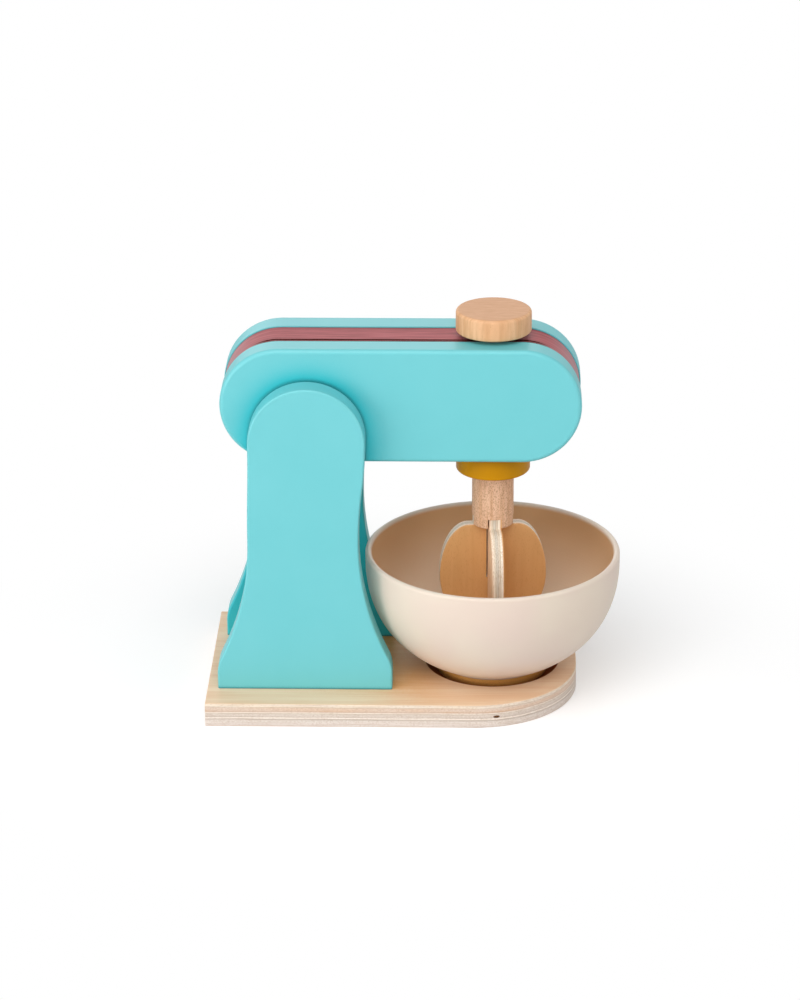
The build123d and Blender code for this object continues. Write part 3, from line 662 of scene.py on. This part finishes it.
# The collar: a disc bored for the spindle and counterbored for the shaft, in millimetres.
SHAFT_RADIUS, SHAFT_TOP_Z = 10.1, 118.4
COLLAR_RADIUS, COLLAR_LOW_Z, COLLAR_HIGH_Z = 17.9, 113.4, 125.0
COLLAR_LOW_EDGE, COLLAR_HIGH_EDGE = 1.2, 0.8
collar_low, collar_high = COLLAR_RADIUS - COLLAR_LOW_EDGE, COLLAR_RADIUS - COLLAR_HIGH_EDGE
collar_profile = joined(
    run((SPINDLE_RADIUS, SHAFT_TOP_Z), (SHAFT_RADIUS, SHAFT_TOP_Z)),
    run((SHAFT_RADIUS, SHAFT_TOP_Z), (SHAFT_RADIUS, COLLAR_LOW_Z)),
    run((SHAFT_RADIUS, COLLAR_LOW_Z), (collar_low, COLLAR_LOW_Z)),
    arc((collar_low, COLLAR_LOW_Z + COLLAR_LOW_EDGE), COLLAR_LOW_EDGE, -90, 0),
    run((COLLAR_RADIUS, COLLAR_LOW_Z + COLLAR_LOW_EDGE),
        (COLLAR_RADIUS, COLLAR_HIGH_Z - COLLAR_HIGH_EDGE)),
    arc((collar_high, COLLAR_HIGH_Z - COLLAR_HIGH_EDGE), COLLAR_HIGH_EDGE, 0, 90),
    run((collar_high, COLLAR_HIGH_Z), (SPINDLE_RADIUS, COLLAR_HIGH_Z)),
    run((SPINDLE_RADIUS, COLLAR_HIGH_Z), (SPINDLE_RADIUS, SHAFT_TOP_Z)))
points, faces = turned(collar_profile)
new_piece("turned_collar", points, faces, "beater", ["collar"], mustard)

# The felt washers, in millimetres: bore and outer radius, and where they lie.
UNDER_KNOB_BORE, UNDER_KNOB_OUTER, UNDER_KNOB_Z = 6.25, 12.9, 182.1
PIVOT_BORE, PIVOT_OUTER, PIVOT_THICKNESS = 5.25, 10.9, 1.0
PIVOT_LOW_Y = (24.1, -25.1)
PIVOT_PLACE = np.array([-88.4, 0, 139.0])
FELT_STEPS, FELT_RIPPLE = 240, 0.03


def felt_ring(bore, outer, low, high):
    """A felt washer: a ring with soft round corners, turned about Z, whose wall wavers a little."""
    soft = 0.25 * (high - low)
    profile = joined(
        arc((bore + soft, low + soft), soft, 180, 270, 4),
        arc((outer - soft, low + soft), soft, 270, 360, 4),
        arc((outer - soft, high - soft), soft, 0, 90, 4),
        arc((bore + soft, high - soft), soft, 90, 180, 4),
        [(bore, low + soft)])
    return turned(profile, FELT_STEPS, FELT_RIPPLE)


points, faces = felt_ring(UNDER_KNOB_BORE, UNDER_KNOB_OUTER, UNDER_KNOB_Z, KNOB_LOW_Z)
new_piece("felt_under_knob", points, faces, "beater", ["knob_washer"], felt)

# The two rings at the pivot are one piece. Their axis is turned from Z to Y.
rings = [felt_ring(PIVOT_BORE, PIVOT_OUTER, low, low + PIVOT_THICKNESS) for low in PIVOT_LOW_Y]
points = np.vstack([ring_points[:, [1, 2, 0]] + PIVOT_PLACE for ring_points, _ in rings])
faces = rings[0][1] + (np.array(rings[1][1]) + len(rings[0][0])).tolist()
new_piece("felt_at_pivot", points, faces, "stand", ["pivot_washers"], felt)


# ---------------------------------------------------------------- studio

MIDDLE = Vector((-0.045, 0.0, 0.09))
# The world's strength as light on the object; to the camera and in reflections it is 1.
ROOM_LIGHT = 0.40


def lamp(name, place, size, power):
    """A square white softbox, its side in metres and power in watts, that faces the middle."""
    light = bpy.data.lights.new(name, "AREA")
    light.size = size
    light.energy = power
    holder = bpy.data.objects.new(name, light)
    bpy.context.scene.collection.objects.link(holder)
    holder.location = place
    holder.rotation_euler = (MIDDLE - Vector(place)).to_track_quat("-Z", "Y").to_euler()


lamp("left softbox", (-1.35, -1.0, 0.2), 1.0, 14)
lamp("top softbox", (-0.25, -1.05, 1.5), 1.5, 18.2)
lamp("right softbox", (1.4, -1.0, 0.6), 1.2, 4.5)
lamp("back softbox", (-0.3, 2.0, 0.7), 1.3, 5)

world = bpy.data.worlds.new("studio")
bpy.context.scene.world = world
world.use_nodes = True
tree = world.node_tree
tree.nodes.clear()
ray = node(tree, "LightPath").node.outputs
seen = node(tree, "Math", {0: ray["Is Camera Ray"], 1: ray["Is Transmission Ray"]},
            operation="MAXIMUM")
seen = node(tree, "Math", {0: seen, 1: ray["Is Glossy Ray"]}, operation="MAXIMUM")
strength = node(tree, "MapRange", {"Value": seen, "To Min": ROOM_LIGHT, "To Max": 1.0})
sky = node(tree, "Background", {"Color": linear("#ffffff"), "Strength": strength})
node(tree, "OutputWorld", {"Surface": sky})

# The floor is open under the base, so that its underside is lit too; from below it isn't seen.
# The opening lies 0.35 mm inside the base's outline, in millimetres.
OPENING_TAIL, OPENING_SIDE = -137.8, 54.1
NOSE_X, NOSE_Y, NOSE_RADIUS = -8.5, 4.4, 49.7
OPENING_NOSE = 41.2
FLOOR_CENTRE = np.array([-0.05, 0.0])
FLOOR_RADIUS = 4.0
under_base = joined(
    run((OPENING_TAIL, -OPENING_SIDE), (NOSE_X, -OPENING_SIDE), 8),
    arc((NOSE_X, -NOSE_Y), NOSE_RADIUS, -90, 0, 12),
    run((OPENING_NOSE, -NOSE_Y), (OPENING_NOSE, NOSE_Y)),
    arc((NOSE_X, NOSE_Y), NOSE_RADIUS, 0, 90, 12),
    run((NOSE_X, OPENING_SIDE), (OPENING_TAIL, OPENING_SIDE), 8),
    run((OPENING_TAIL, OPENING_SIDE), (OPENING_TAIL, -OPENING_SIDE), 8))[:-1] * MM
outward = under_base - FLOOR_CENTRE
outward /= np.linalg.norm(outward, axis=1)[:, None]
rim = np.vstack([under_base, FLOOR_CENTRE + FLOOR_RADIUS * outward])
inner = np.arange(len(under_base))
after = np.roll(inner, -1)
quads = np.column_stack([inner, inner + len(inner), after + len(inner), after])
floor_mesh = bpy.data.meshes.new("floor")
floor_mesh.from_pydata(np.column_stack([rim, np.zeros(len(rim))]).tolist(), [], quads.tolist())
floor = bpy.data.objects.new("floor", floor_mesh)
bpy.context.scene.collection.objects.link(floor)

# To the camera the paper is lit near the object, where the shadow falls, and fades to plain
# white from SHADOW_START to SHADOW_END metres away from below the head. To light it is paper.
SHADOW_START, SHADOW_END = 0.12, 0.24
NEAR_GLOW = 0.26
paper, tree = new_material("white studio paper")
seen = node(tree, "LightPath", output="Is Camera Ray")
lit = node(tree, "BsdfDiffuse", {"Color": linear("#efefef")})
reach = node(tree, "VectorMath", {0: object_place(tree), 1: (MIDDLE.x, 0.0, 0.0)},
             operation="DISTANCE")
far = node(tree, "MapRange", {"Value": reach, **limits(SHADOW_START, SHADOW_END)}, **SMOOTH)
near_paper = node(tree, "BsdfDiffuse", {"Color": linear("#eeeeee")})
near_glow = node(tree, "Emission", {"Color": linear("#ffffff"), "Strength": NEAR_GLOW})
near = node(tree, "AddShader", {0: near_paper, 1: near_glow})
white = node(tree, "Emission", {"Color": linear("#ffffff"), "Strength": 1.0})
shown = node(tree, "MixShader", {0: far, 1: near, 2: white})
both = node(tree, "MixShader", {0: seen, 1: lit, 2: shown})
from_below = node(tree, "NewGeometry", output="Backfacing")
one_way = node(tree, "MixShader", {0: from_below, 1: both, 2: node(tree, "BsdfTransparent")})
node(tree, "OutputMaterial", {"Surface": one_way})
floor_mesh.materials.append(paper)


# ---------------------------------------------------------------- camera

# The camera stands DISTANCE away from AIM and looks at it: turned by YAW, then tipped down by
# PITCH, and rolled by ROLL. The focal length is in millimetres, for Blender's own sensor size.
PITCH = math.radians(22.35)
YAW = math.radians(-1.66)
ROLL = math.radians(-0.31)
AIM = np.array([-45.087, 0.0, 96.222]) * MM
DISTANCE = 1703.16 * MM
FOCAL_LENGTH = 126.16

ahead = np.array([math.sin(YAW) * math.cos(PITCH), math.cos(YAW) * math.cos(PITCH),
                  -math.sin(PITCH)])
level = np.array([math.cos(YAW), -math.sin(YAW), 0.0])
upright = np.cross(level, ahead)
right = level * math.cos(ROLL) + upright * math.sin(ROLL)
up = upright * math.cos(ROLL) - level * math.sin(ROLL)

lens = bpy.data.cameras.new("camera")
lens.lens = FOCAL_LENGTH
camera = bpy.data.objects.new("camera", lens)
bpy.context.scene.collection.objects.link(camera)
stand = Matrix(np.column_stack([right, up, -ahead]).tolist()).to_4x4()
stand.translation = AIM - ahead * DISTANCE
camera.matrix_world = stand
bpy.context.scene.camera = camera
bpy.context.scene.view_settings.view_transform = "Standard"
